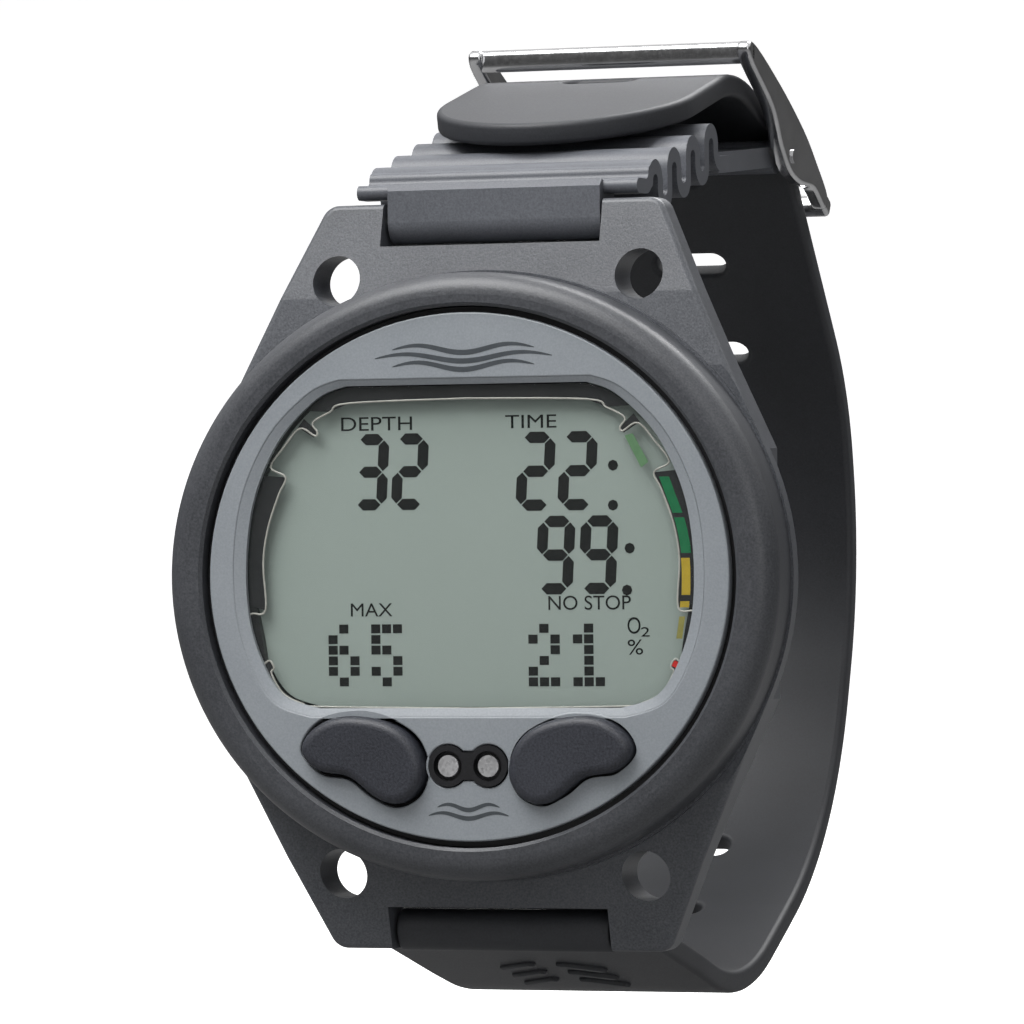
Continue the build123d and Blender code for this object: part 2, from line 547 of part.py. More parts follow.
def slot_places(path):
    """Where the slots lie, counted both ways from the one that the tongue goes through."""
    steps = 2000
    engaged = min(range(steps + 1), key=lambda k: (path @ (k / steps) - Vector(*ENGAGED_SLOT)).length)
    shares = [engaged / steps + k * SLOT_PITCH / path.length for k in range(-SLOTS_BELOW, SLOTS_ABOVE + 1)]
    return [(path @ share, path % share) for share in shares]


def buckle_point(along, out):
    """A point of the buckle's side plate: along from the front bar, and out from the line of the bars."""
    length = math.dist(FRONT_BAR, REAR_BAR)
    uy, uz = (REAR_BAR[0] - FRONT_BAR[0]) / length, (REAR_BAR[1] - FRONT_BAR[1]) / length
    return (FRONT_BAR[0] + along * uy - out * uz, FRONT_BAR[1] + along * uz + out * uy)


def buckle_frame():
    outline = [(-1.1, 1.1), (10.0, 2.5), (20.0, 2.8), (27.5, 2.0), (33.2, 1.1), (33.2, -1.1), (26.0, -1.0),
               (21.8, -3.4), (18.0, -4.4), (14.0, -3.5), (9.0, -1.4), (-1.1, -1.1)]
    face = Polygon(*[buckle_point(*p) for p in outline], align=None)
    face = fillet(face.vertices(), 0.9)
    frame = side(face, BUCKLE_OUTER) - side(face, BUCKLE_INNER)
    lean = math.degrees(math.atan2(REAR_BAR[1] - FRONT_BAR[1], REAR_BAR[0] - FRONT_BAR[0]))
    for bar in (FRONT_BAR, REAR_BAR):
        section = Pos(*bar) * Rot(0, 0, lean) * RectangleRounded(BAR_SIZE, BAR_SIZE, 0.7)
        frame += side(section, BUCKLE_OUTER - 0.2)
    return frame - cross_rod(PIN_R, PIN, -20, 20)


def buckle_tongue():
    path = Polyline((42.0, 46.3), (45.4, 45.0), (48.45, 47.6), (55.9, 43.3))
    blade = band(path, TONGUE_THICK)
    body = side(blade, TONGUE_HALF) + side(Pos(*PIN) * Circle(TONGUE_KNUCKLE_R), TONGUE_HALF)
    return body - cross_rod(PIN_R + RUNNING_GAP, PIN, -20, 20)


write("lug_frame", lug_frame())
write("bezel_ring", bezel_ring())
write("face_mask", face_mask())
write("front_housing", front_housing())
write("display_window", display_window())
write("lcd_mask", lcd_mask())
write("lcd_panel", slab(lcd_outline(), LCD_BACK, LCD_FRONT))
write("lcd_carrier", lcd_carrier())
write("zebra_strips", *zebra_strips())
write("circuit_board", circuit_board())
write("board_components", *board_components())
write("key_switches", *key_switches())
for hand, sign in (("right", 1), ("left", -1)):
    write(f"{hand}_button", button(sign))
    write(f"{hand}_button_clip", button_clip(sign * BUTTON_X))
    write(f"{hand}_button_spring", button_spring(sign * BUTTON_X))
    write(f"{hand}_button_seal", button_seal(sign * BUTTON_X))
    write(f"{hand}_water_contact", contact_pin(sign * CONTACT_X))
write("contact_surround", contact_surround())
write("rear_case", rear_case())
write("case_gasket", case_gasket())
write("battery_cap", battery_cap())
write("battery_cap_seal", battery_cap_seal())
write("coin_cell", coin_cell())
write("battery_contact", battery_contact())
write("cell_contact_spring", cell_contact_spring())
write("pressure_sensor", pressure_sensor())
write("sensor_seal", sensor_seal())
write("buzzer", buzzer())
write("case_screws", *[screw(x, z, CASE_SCREW_SEAT, CASE_SCREW_LENGTH, CASE_SCREW_R, CASE_SCREW_HEAD_R, 1.1)
                       for x, z in CASE_SCREWS])
write("bezel_screws", *[screw(x, z, RING_SCREW_SEAT, RING_SCREW_LENGTH, RING_SCREW_R, RING_SCREW_HEAD_R, 0.9)
                        for x, z in ring_screw_places()])
for place, sign, reach in (("upper", 1, BAR_TIP_REACH), ("lower", -1, BAR_HALF)):
    barrel, tips = spring_bar(sign, reach)
    write(f"{place}_strap_bar", barrel)
    write(f"{place}_strap_bar_tips", *tips)
write("short_strap", short_strap())
write("long_strap", long_strap())
write("long_strap_end", long_strap_end())
write("buckle_frame", buckle_frame())
write("buckle_pin", cross_rod(PIN_R, PIN, -BUCKLE_OUTER - 0.2, BUCKLE_OUTER + 0.2))
write("buckle_tongue", buckle_tongue())
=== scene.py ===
import bisect
import json
import math

import bmesh
import bpy
from mathutils import Matrix, Vector


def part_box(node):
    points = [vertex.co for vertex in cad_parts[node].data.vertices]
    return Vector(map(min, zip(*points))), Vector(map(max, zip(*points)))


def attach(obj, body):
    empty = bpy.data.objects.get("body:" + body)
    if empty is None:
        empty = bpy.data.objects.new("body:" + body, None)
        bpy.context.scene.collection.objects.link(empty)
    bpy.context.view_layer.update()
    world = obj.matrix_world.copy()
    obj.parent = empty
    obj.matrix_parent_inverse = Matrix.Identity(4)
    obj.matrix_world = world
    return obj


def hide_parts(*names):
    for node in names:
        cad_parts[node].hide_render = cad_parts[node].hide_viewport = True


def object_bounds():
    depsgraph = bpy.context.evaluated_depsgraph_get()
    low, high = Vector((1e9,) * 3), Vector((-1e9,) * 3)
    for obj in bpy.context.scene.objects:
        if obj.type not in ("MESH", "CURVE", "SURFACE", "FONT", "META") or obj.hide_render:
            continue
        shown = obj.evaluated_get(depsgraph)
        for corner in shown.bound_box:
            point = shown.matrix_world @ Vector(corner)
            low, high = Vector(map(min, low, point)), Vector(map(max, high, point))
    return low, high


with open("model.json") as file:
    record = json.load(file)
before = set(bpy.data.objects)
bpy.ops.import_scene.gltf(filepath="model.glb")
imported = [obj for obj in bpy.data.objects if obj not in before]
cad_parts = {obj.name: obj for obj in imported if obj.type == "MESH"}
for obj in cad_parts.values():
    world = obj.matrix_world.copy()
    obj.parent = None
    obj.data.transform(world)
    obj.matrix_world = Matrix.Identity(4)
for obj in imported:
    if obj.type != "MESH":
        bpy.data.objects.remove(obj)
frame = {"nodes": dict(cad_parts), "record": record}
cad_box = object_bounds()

# Wrist dive computer. Lengths in this script are millimetres, turned into metres by MM, in the
# frame of the part: +Z to 12 o'clock, -Y out of the face, +X to the reader's right.
MM = 0.001

# Levels of the display, from the face inwards.
MASK_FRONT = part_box("face_mask")[0].y / MM
PANE_FRONT, PANE_BACK = MASK_FRONT + 0.5, MASK_FRONT + 1.0
CARD_FRONT, CARD_BACK = PANE_BACK + 0.05, PANE_BACK + 0.15
GLASS_FRONT = -20.4
INK = 0.02
BEVEL = 1.25


# ---------------------------------------------------------------- materials

def new_material(name):
    """An empty node material with its Principled shader."""
    material = bpy.data.materials.new(name)
    material.use_nodes = True
    shader = material.node_tree.nodes["Principled BSDF"]
    return material, material.node_tree, shader


def add(tree, kind, **values):
    node = tree.nodes.new(kind)
    for key, value in values.items():
        setattr(node, key, value)
    return node


def noise(tree, size, detail=2.0, roughness=0.5, stretch=(1.0, 1.0, 1.0)):
    """A noise whose features are about size millimetres across, in object space."""
    place = add(tree, "ShaderNodeTexCoord")
    scale = add(tree, "ShaderNodeMapping")
    scale.inputs["Scale"].default_value = [s / (size * MM) for s in stretch]
    texture = add(tree, "ShaderNodeTexNoise")
    texture.inputs["Scale"].default_value = 1.0
    texture.inputs["Detail"].default_value = detail
    texture.inputs["Roughness"].default_value = roughness
    tree.links.new(place.outputs["Object"], scale.inputs["Vector"])
    tree.links.new(scale.outputs["Vector"], texture.inputs["Vector"])
    return texture.outputs["Fac"]


def ramp(tree, value, stops):
    """Turns a value into a colour by (position, colour) stops."""
    node = add(tree, "ShaderNodeValToRGB")
    node.color_ramp.elements[0].position = stops[0][0]
    node.color_ramp.elements[0].color = (*stops[0][1], 1.0)
    node.color_ramp.elements[1].position = stops[-1][0]
    node.color_ramp.elements[1].color = (*stops[-1][1], 1.0)
    for position, colour in stops[1:-1]:
        node.color_ramp.elements.new(position).color = (*colour, 1.0)
    tree.links.new(value, node.inputs["Fac"])
    return node.outputs["Color"]


def spread(tree, value, low, high):
    """Maps the middle of a noise onto low to high."""
    node = add(tree, "ShaderNodeMapRange")
    node.inputs["From Min"].default_value = 0.3
    node.inputs["From Max"].default_value = 0.7
    node.inputs["To Min"].default_value = low
    node.inputs["To Max"].default_value = high
    tree.links.new(value, node.inputs["Value"])
    return node.outputs["Result"]


def bump(tree, shader, heights):
    """Chains bumps of (noise, depth in mm) into the shader's normal."""
    normal = None
    for value, depth in heights:
        node = add(tree, "ShaderNodeBump")
        node.inputs["Distance"].default_value = depth * MM
        tree.links.new(value, node.inputs["Height"])
        if normal:
            tree.links.new(normal, node.inputs["Normal"])
        normal = node.outputs["Normal"]
    tree.links.new(normal, shader.inputs["Normal"])


def moulded(name, dark, light, rough, grain=0.22, depth=0.02, coat=0.0, specular=0.5):
    """Moulded plastic or rubber: speckled in colour, with a spark-eroded grain."""
    material, tree, shader = new_material(name)
    fine = noise(tree, grain, 3.0, 0.6)
    wide = noise(tree, 9.0, 2.0)
    mixed = add(tree, "ShaderNodeMix", data_type="FLOAT")
    mixed.inputs["Factor"].default_value = 0.25
    tree.links.new(fine, mixed.inputs["A"])
    tree.links.new(wide, mixed.inputs["B"])
    tree.links.new(ramp(tree, mixed.outputs["Result"], [(0.32, dark), (0.68, light)]), shader.inputs["Base Color"])
    tree.links.new(spread(tree, fine, rough - 0.06, rough + 0.06), shader.inputs["Roughness"])
    shader.inputs["Specular IOR Level"].default_value = specular
    shader.inputs["Coat Weight"].default_value = coat
    shader.inputs["Coat Roughness"].default_value = 0.3
    bump(tree, shader, [(wide, 0.03), (fine, depth)])
    return material


def metal(name, colour, rough, brushed=(1.0, 1.0, 1.0)):
    """Polished or brushed metal, with faint wear in its gloss."""
    material, tree, shader = new_material(name)
    lines = noise(tree, 0.35, 3.0, 0.6, brushed)
    wear = noise(tree, 4.0, 3.0)
    darker = tuple(0.86 * c for c in colour)
    tree.links.new(ramp(tree, wear, [(0.35, darker), (0.65, colour)]), shader.inputs["Base Color"])
    shader.inputs["Metallic"].default_value = 1.0
    tree.links.new(spread(tree, lines, rough * 0.75, rough * 1.35), shader.inputs["Roughness"])
    bump(tree, shader, [(lines, 0.002)])
    return material


def clear_pane():
    """The clear window: mostly see-through, with a polished surface."""
    material, tree, shader = new_material("clear_lens")
    haze = noise(tree, 6.0, 2.0)
    tint = ramp(tree, haze, [(0.3, (0.10, 0.12, 0.115)), (0.7, (0.14, 0.155, 0.15))])
    tree.links.new(tint, shader.inputs["Base Color"])
    tree.links.new(spread(tree, haze, 0.03, 0.05), shader.inputs["Roughness"])
    shader.inputs["Alpha"].default_value = 0.06
    return material


def display_glass():
    """Reflective liquid crystal glass, with painted shade: darker towards its rim, where the frame shades it."""
    material, tree, shader = new_material("lcd_glass")
    place = add(tree, "ShaderNodeTexCoord")
    shift = add(tree, "ShaderNodeMapping")
    shift.inputs["Location"].default_value = (0.0, 0.0, -0.11)
    shift.inputs["Scale"].default_value = (1 / (27.5 * MM), 0.0, 1 / (19.5 * MM))
    tree.links.new(place.outputs["Object"], shift.inputs["Vector"])
    power = add(tree, "ShaderNodeVectorMath", operation="MULTIPLY")
    square = add(tree, "ShaderNodeVectorMath", operation="MULTIPLY")
    for node, a in ((power, shift.outputs["Vector"]), (square, power.outputs["Vector"])):
        tree.links.new(a, node.inputs[0])
        tree.links.new(a, node.inputs[1])
    length = add(tree, "ShaderNodeVectorMath", operation="LENGTH")
    tree.links.new(square.outputs["Vector"], length.inputs[0])
    # Painted shade: the glass colour darkens towards its rim, where the frame shades it.
    stops = [(0.0, (0.31, 0.365, 0.335)), (0.62, (0.29, 0.345, 0.315)), (0.95, (0.185, 0.225, 0.195))]
    tree.links.new(ramp(tree, length.outputs["Value"], stops), shader.inputs["Base Color"])
    tree.links.new(spread(tree, noise(tree, 1.5), 0.40, 0.50), shader.inputs["Roughness"])
    shader.inputs["Specular IOR Level"].default_value = 0.2
    return material


def printed(name, colour, rough=0.5):
    """Ink or a printed colour, slightly uneven."""
    material, tree, shader = new_material(name)
    patch = noise(tree, 0.9, 2.0)
    darker = tuple(0.82 * c for c in colour)
    tree.links.new(ramp(tree, patch, [(0.3, darker), (0.7, colour)]), shader.inputs["Base Color"])
    tree.links.new(spread(tree, patch, rough - 0.05, rough + 0.05), shader.inputs["Roughness"])
    shader.inputs["Specular IOR Level"].default_value = 0.25
    return material


def board_green():
    """Solder mask with paler copper tracks under it."""
    material, tree, shader = new_material("board")
    tracks = noise(tree, 1.6, 0.0, 0.5, (1.0, 1.0, 0.15))
    tint = ramp(tree, tracks, [(0.46, (0.01, 0.10, 0.04)), (0.5, (0.02, 0.19, 0.08))])
    tree.links.new(tint, shader.inputs["Base Color"])
    tree.links.new(spread(tree, tracks, 0.25, 0.35), shader.inputs["Roughness"])
    return material


MATERIALS = {
    "case_plastic": moulded("case_plastic", (0.030, 0.032, 0.037), (0.066, 0.069, 0.077), 0.42),
    "black_plastic": moulded("black_plastic", (0.006, 0.006, 0.007), (0.014, 0.014, 0.016), 0.38, depth=0.01),
    "silver_mask": moulded("silver_mask", (0.215, 0.235, 0.255), (0.265, 0.285, 0.305), 0.40, depth=0.006),
    "clear_lens": clear_pane(),
    "lcd_glass": display_glass(),
    "white_plastic": moulded("white_plastic", (0.60, 0.60, 0.58), (0.72, 0.72, 0.70), 0.5),
    "board": board_green(),
    "chip_plastic": moulded("chip_plastic", (0.015, 0.015, 0.016), (0.03, 0.03, 0.03), 0.5),
    "button_rubber": moulded("button_rubber", (0.010, 0.011, 0.016), (0.038, 0.041, 0.053), 0.5, 0.25, 0.03),
    "seal_rubber": moulded("seal_rubber", (0.010, 0.010, 0.011), (0.022, 0.022, 0.023), 0.55),
    "strap_rubber": moulded("strap_rubber", (0.016, 0.017, 0.020), (0.032, 0.034, 0.040), 0.56, 0.2, 0.012),
    "steel": metal("steel", (0.66, 0.66, 0.67), 0.16),
    "brass": metal("brass", (0.72, 0.55, 0.27), 0.25),
}
FINISHES = {
    "lug_frame": moulded("lug_plastic", (0.040, 0.043, 0.050), (0.098, 0.103, 0.115), 0.42),
    # The bellows rubber is a lighter copy of the strap rubber; its lighter colour is painted sheen that the folds
    # catch.
    "short_strap": moulded("bellows_rubber_painted_sheen", (0.065, 0.069, 0.079), (0.112, 0.118, 0.134), 0.45, 0.2, 0.012),
    "left_water_contact": metal("contact_steel", (0.62, 0.62, 0.63), 0.45),
}
FINISHES["right_water_contact"] = FINISHES["left_water_contact"]
INK_BLACK = printed("ink_black", (0.002, 0.002, 0.002), 0.9)
GREEN = printed("zone_green", (0.004, 0.16, 0.055))
PALE_GREEN = printed("zone_pale_green", (0.12, 0.25, 0.12))
YELLOW = printed("zone_yellow", (0.50, 0.36, 0.025))
PALE_YELLOW = printed("zone_pale_yellow", (0.29, 0.27, 0.07))
RED = printed("zone_red", (0.62, 0.02, 0.015))
# Painted highlight: the pale colour of the edge round the display, where it catches the light.
PAINTED_EDGE_HIGHLIGHT = printed("painted_edge_highlight", (0.42, 0.42, 0.38), 0.3)
LOGO_INK = printed("logo_ink", (0.06, 0.068, 0.076), 0.5)

SLOT_OF = {entry["node"]: entry["material_slot"] for entry in frame["record"]["subparts"]}
for node, obj in frame["nodes"].items():
    obj.data.materials.clear()
    obj.data.materials.append(FINISHES.get(node) or MATERIALS[SLOT_OF[node]])


# ---------------------------------------------------------------- pieces

def place_piece(name, mesh, body, slot, material=None):
    """A mesh, in metres and in the frame of the part, becomes a piece that rides on a body."""
    mesh.materials.clear()
    mesh.materials.append(material or MATERIALS[slot])
    piece = bpy.data.objects.new(name, mesh)
    bpy.context.scene.collection.objects.link(piece)
    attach(piece, body)
    return piece


def smooth(mesh, angle=35.0):
    mesh.shade_smooth()
    mesh.set_sharp_from_angle(angle=math.radians(angle))
    return mesh


def from_curve(curve, turn):
    """The mesh of a curve, turned so that its X and Y become X and Z of the part."""
    holder = bpy.data.objects.new("holder", curve)
    mesh = bpy.data.meshes.new_from_object(holder)
    bpy.data.objects.remove(holder)
    bpy.data.curves.remove(curve)
    mesh.transform(turn)
    return mesh


def facing(level):
    """Stands a flat drawing, in metres, upright at a level of Y, facing -Y."""
    return Matrix.Translation((0, level * MM, 0)) @ Matrix.Rotation(math.radians(90), 4, "X")


def plate(loops, back, front, edge=0.0, steps=3):
    """A flat piece with outlines given in X and Z, between two levels of Y, with rounded rims."""
    curve = bpy.data.curves.new("outline", "CURVE")
    curve.dimensions = "2D"
    curve.fill_mode = "BOTH"
    curve.extrude = ((back - front) / 2 - edge) * MM
    curve.bevel_depth = edge * MM
    curve.bevel_resolution = steps
    curve.offset = -edge * MM
    for loop in loops:
        spline = curve.splines.new("POLY")
        spline.points.add(len(loop) - 1)
        for point, (x, z) in zip(spline.points, loop):
            point.co = (x * MM, z * MM, 0.0, 1.0)
        spline.use_cyclic_u = True
    return smooth(from_curve(curve, facing((back + front) / 2)))


def joined(meshes):
    """Several meshes as one."""
    form = bmesh.new()
    for mesh in meshes:
        form.from_mesh(mesh)
        bpy.data.meshes.remove(mesh)
    whole = bpy.data.meshes.new("joined")
    form.to_mesh(whole)
    form.free()
    return whole


def lettering(words, height, x, z, level, width=None):
    """Plain capital letters whose box starts at x and z."""
    curve = bpy.data.curves.new("words", "FONT")
    curve.body = words
    curve.extrude = INK * MM / 2
    mesh = from_curve(curve, Matrix.Identity(4))
    low = Vector(min(v.co[k] for v in mesh.vertices) for k in range(3))
    high = Vector(max(v.co[k] for v in mesh.vertices) for k in range(3))
    tall = height * MM / (high.y - low.y)
    wide = width * MM / (high.x - low.x) if width else tall
    fit = Matrix.Diagonal((wide, tall, 1.0, 1.0)) @ Matrix.Translation((-low.x, -low.y, 0))
    mesh.transform(facing(level) @ Matrix.Translation((x * MM, z * MM, 0)) @ fit)
    return mesh


# ---------------------------------------------------------------- display

# Segments of a digit in a box one wide and one tall, as the ends of each stroke's middle line.
STROKES = {
    "a": ((0, 1), (1, 1)), "b": ((1, 1), (1, 0.5)), "c": ((1, 0.5), (1, 0)), "d": ((1, 0), (0, 0)),
    "e": ((0, 0), (0, 0.5)), "f": ((0, 0.5), (0, 1)), "g": ((0, 0.5), (1, 0.5)),
}
DIGITS = {"2": "abged", "3": "abgcd", "9": "abcdfg"}
DOTS = {
    "6": [".#.", "#..", "##.", "#.#", "#.#", ".#."],
    "5": ["###", "#..", "##.", "..#", "#.#", ".#."],
    "2": [".#.", "#.#", "..#", ".#.", "#..", "###"],
    "1": [".#.", "##.", ".#.", ".#.", ".#.", "###"],
}


def stroke(start, end, width, gap=0.10):
    """A long hexagon with pointed ends, from start to end, less a gap."""
    run = Vector(end) - Vector(start)
    along = run.normalized()
    across = Vector((-along.y, along.x)) * width / 2
    a, b = Vector(start) + along * gap, Vector(end) - along * gap
    tip = along * width / 2
    return [tuple(p) for p in (a, a + tip + across, b - tip + across, b, b - tip - across, a + tip - across)]


def segment_digit(char, x, z, wide, tall, weight=1.2, lean=0.06):
    """A seven-segment digit whose box starts at x and z."""
    strokes = []
    for name in DIGITS[char]:
        ends = []
        for u, v in STROKES[name]:
            px = x + weight / 2 + u * (wide - weight)
            pz = z + weight / 2 + v * (tall - weight)
            ends.append((px + lean * (pz - z), pz))
        strokes.append(stroke(*ends, weight))
    return strokes


def dot_digit(char, x, z, pitch_x, pitch_z, fill=0.84):
    """A dot-matrix digit whose box starts at x and z."""
    cells = []
    rows = DOTS[char]
    for r, row in enumerate(rows):
        for c, mark in enumerate(row):
            if mark == "#":
                left = x + c * pitch_x
                low = z + (len(rows) - 1 - r) * pitch_z
                right, high = left + pitch_x * fill, low + pitch_z * fill
                cells.append([(left, low), (right, low), (right, high), (left, high)])
    return cells


def dot(x, z, radius=0.58):
    return [(x + radius * math.cos(k * math.tau / 8), z + radius * math.sin(k * math.tau / 8)) for k in range(8)]


def display_marks():
    loops = []
    for char, x in (("3", -13.7), ("2", -9.2)):
        loops += segment_digit(char, x, 7.15, 4.0, 8.15)
    for char, x in (("2", 4.9), ("2", 9.6)):
        loops += segment_digit(char, x, 6.9, 4.2, 8.35)
    for char, x in (("9", 7.0), ("9", 11.8)):
        loops += segment_digit(char, x, -1.95, 4.2, 8.3)
    for x, z in ((15.9, 11.6), (15.85, 7.4), (17.65, 2.85), (17.3, -1.55)):
        loops.append(dot(x, z))
    for char, x, z in (("6", -16.5, -11.6), ("5", -11.6, -11.6), ("2", 6.2, -11.65), ("1", 11.2, -11.65)):
        loops += dot_digit(char, x, z, 1.24, 1.13)
    ink = plate(loops, GLASS_FRONT, GLASS_FRONT - INK)
    words = [
        lettering("DEPTH", 1.45, -14.75, 15.65, GLASS_FRONT - INK / 2, 8.1),
        lettering("TIME", 1.4, 3.9, 15.65, GLASS_FRONT - INK / 2, 5.75),
        lettering("NO STOP", 1.5, 8.5, -3.6, GLASS_FRONT - INK / 2, 9.2),
        lettering("MAX", 1.4, -13.9, -4.15, GLASS_FRONT - INK / 2, 4.75),
        lettering("O", 1.75, 17.3, -6.15, GLASS_FRONT - INK / 2, 1.45),
        lettering("2", 1.0, 18.8, -6.45, GLASS_FRONT - INK / 2, 0.95),
        lettering("%", 1.6, 17.3, -8.35, GLASS_FRONT - INK / 2, 1.7),
    ]
    marks = joined([ink, *words])
    return place_piece("display_marks", marks, "case", "black_plastic", INK_BLACK)


def mirrored(points):
    """A closed outline, symmetric left to right, from its right-hand half, top first."""
    return points + [(-x, z) for x, z in reversed(points)]


def curved(points, closed=True, steps=8):
    """A Catmull-Rom line through the points."""
    count = len(points)
    line = []
    for k in range(count if closed else count - 1):
        p = [Vector(points[(k + o) % count if closed else min(max(k + o, 0), count - 1)]) for o in (-1, 0, 1, 2)]
        for j in range(steps):
            t = j / steps
            line.append(tuple(0.5 * (2 * p[1] + (p[2] - p[0]) * t + (2 * p[0] - 5 * p[1] + 4 * p[2] - p[3]) * t ** 2
                                     + (3 * p[1] - p[0] - 3 * p[2] + p[3]) * t ** 3)))
    if not closed:
        line.append(tuple(points[-1]))
    return line


def window(inset=0.0):
    """The outline of the window in the mask, from its right-hand half."""
    sides = [(13.6, 20.4), (16.9, 19.1), (21.2, 14.9), (24.1, 9.0), (25.2, 2.6), (25.0, -4.0), (23.4, -9.2),
             (21.0, -12.6), (17.0, -13.9)]
    right = [(x - inset * min(1.0, abs(x) / 22.0), z - inset * (z - 2.6) / 18.0) for x, z in curved(sides, False, 6)]
    return mirrored(right)


def view_edge(sign):
    """The line round the display on one side, with its two tabs, from the top to the bottom."""
    points = [(13.4, 18.6), (15.6, 17.7), (17.6, 16.6), (17.1, 15.6), (17.4, 15.2), (19.1, 16.0), (20.9, 14.1),
              (22.5, 11.9), (20.8, 10.8), (21.6, 9.0), (22.9, 5.4), (23.5, 1.6), (23.3, -3.4), (25.0, -3.8),
              (25.1, -5.2), (24.0, -9.0), (22.9, -8.8), (22.4, -9.6), (22.7, -10.2), (21.4, -12.3), (19.2, -13.4),
              (16.8, -13.75)]
    return [(sign * x, z) for x, z in points]


def display_card():
    """The black print under the window: a top bar, and on each side a bowed bar and two tabs."""
    rim = window(0.15)
    loops = []
    top = [(x, z) for x, z in rim if z > 17.3 and x > 0]
    bar = mirrored([(0.0, 20.35), *top, (15.6, 17.7), (13.4, 18.6), (0.0, 18.9)])
    loops.append(bar)
    for sign in (1, -1):
        outer = [(sign * abs(x), z) for x, z in rim if x > 0 and -3.7 < z < 11.4]
        side = curved([(20.8, 10.8), (21.6, 9.0), (22.9, 5.4), (23.5, 1.6), (23.3, -3.4)], False)
        inner = [(sign * x, z) for x, z in side]
        loops.append(inner + outer[::-1])
        loops.append([(sign * x, z) for x, z in ((17.1, 15.6), (17.5, 15.0), (19.3, 16.1), (18.6, 17.0))])
        loops.append([(sign * x, z) for x, z in ((22.4, -9.6), (22.8, -8.8), (24.2, -9.4), (23.6, -10.6))])
    return place_piece("display_card", plate(loops, CARD_BACK, CARD_FRONT), "case", "black_plastic")


def zone(low, high, inner, outer):
    """One printed cell of the no-stop scale: a stretch of the bowed side."""
    line = [(x, z) for x, z in curved([(20.8, 11.2), (21.6, 9.0), (22.9, 5.4), (23.5, 1.6), (23.4, -3.4), (22.6, -8.8)],
                                      False, 24) if low <= z <= high]
    return [(x + inner, z) for x, z in line] + [(x + outer, z) for x, z in reversed(line)]


def no_stop_scale():
    """The coloured scale on the right-hand bar: green, yellow, then a red tab."""
    zones = [
        ("zone_green_upper", GREEN, zone(6.5, 10.4, 0.25, 1.35)),
        ("zone_green_lower", GREEN, zone(2.3, 6.1, 0.25, 1.35)),
        ("zone_yellow_upper", YELLOW, zone(-2.2, 1.8, 0.2, 1.15)),
        ("zone_yellow_lower", YELLOW, zone(-3.5, -2.6, 0.1, 1.1)),
        ("zone_yellow_pale", PALE_YELLOW, zone(-6.9, -4.3, 0.1, 0.75)),
        ("zone_green_pale", PALE_GREEN, [(17.6, 14.7), (18.5, 14.9), (20.2, 11.9), (19.4, 11.3)]),
        ("zone_red", RED, [(22.5, -9.5), (22.8, -8.9), (23.6, -9.3), (23.3, -9.9)]),
    ]
    for name, ink, loop in zones:
        place_piece(name, plate([loop], CARD_FRONT - INK, CARD_FRONT - 2 * INK), "case", "black_plastic", ink)


def view_line():
    """The moulded edge of the frame round the display, as a pale line: a painted highlight where the edge catches the
    light.
    """
    for name, sign in (("view_edge_highlight_right", 1), ("view_edge_highlight_left", -1)):
        curve = bpy.data.curves.new(name, "CURVE")
        curve.dimensions = "3D"
        curve.bevel_depth = 0.11 * MM
        curve.bevel_resolution = 2
        points = [(0.0, 18.9), *view_edge(sign), (0.0, -13.95)]
        line = curved(points, False, 5)
        spline = curve.splines.new("POLY")
        spline.points.add(len(line) - 1)
        for point, (x, z) in zip(spline.points, line):
            point.co = (x * MM, z * MM, 0.0, 1.0)
        place_piece(name, smooth(from_curve(curve, facing(CARD_FRONT + 0.02))), "case", "white_plastic", PAINTED_EDGE_HIGHLIGHT)


def window_pane():
    pane = place_piece("window_pane", plate([window(0.12)], PANE_BACK, PANE_FRONT, 0.12), "case", "clear_lens")
    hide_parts("display_window")


def front_glass():
    """The display glass as it is seen, up against the seat of the window."""
    place_piece("display_glass", plate([window(0.1)], GLASS_FRONT + 0.6, GLASS_FRONT), "case", "lcd_glass")


def eased(x, z, grow):
    """A point of the window's outline moved outwards, less at the flat bottom."""
    length = math.hypot(x / 25.0, (z - 3.0) / 17.0)
    return x + grow * (x / 25.0) / length, z + grow * (0.55 if z > 3.0 else 0.85) * ((z - 3.0) / 17.0) / length


def kidney(sign, grow):
    """The opening for a button."""
    points = [(4.9, -19.8), (6.6, -16.7), (11.4, -14.8), (16.6, -15.6), (18.6, -18.3),
              (16.6, -20.5), (13.4, -21.1), (10.9, -22.9), (8.2, -24.0), (5.7, -22.8)]
    grown = []
    for before, (x, z), after in zip(points[-1:] + points[:-1], points, points[1:] + points[:1]):
        reach = grow / math.dist(before, after)
        grown.append((sign * (x - reach * (after[1] - before[1])), z + reach * (after[0] - before[0])))
    return curved(grown, True, 8)


def contact_hole(grow):
    """The figure-of-eight opening for the water contacts."""
    radius, half = 2.2 + grow, 2.25
    start = math.asin((1.45 + grow) / radius)
    right = [(half + radius * math.cos(a), -20.0 + radius * math.sin(a))
             for a in (start - math.pi + (math.tau - 2 * start) * k / 30 for k in range(31))]
    return right + [(-x, -40.0 - z) for x, z in right]


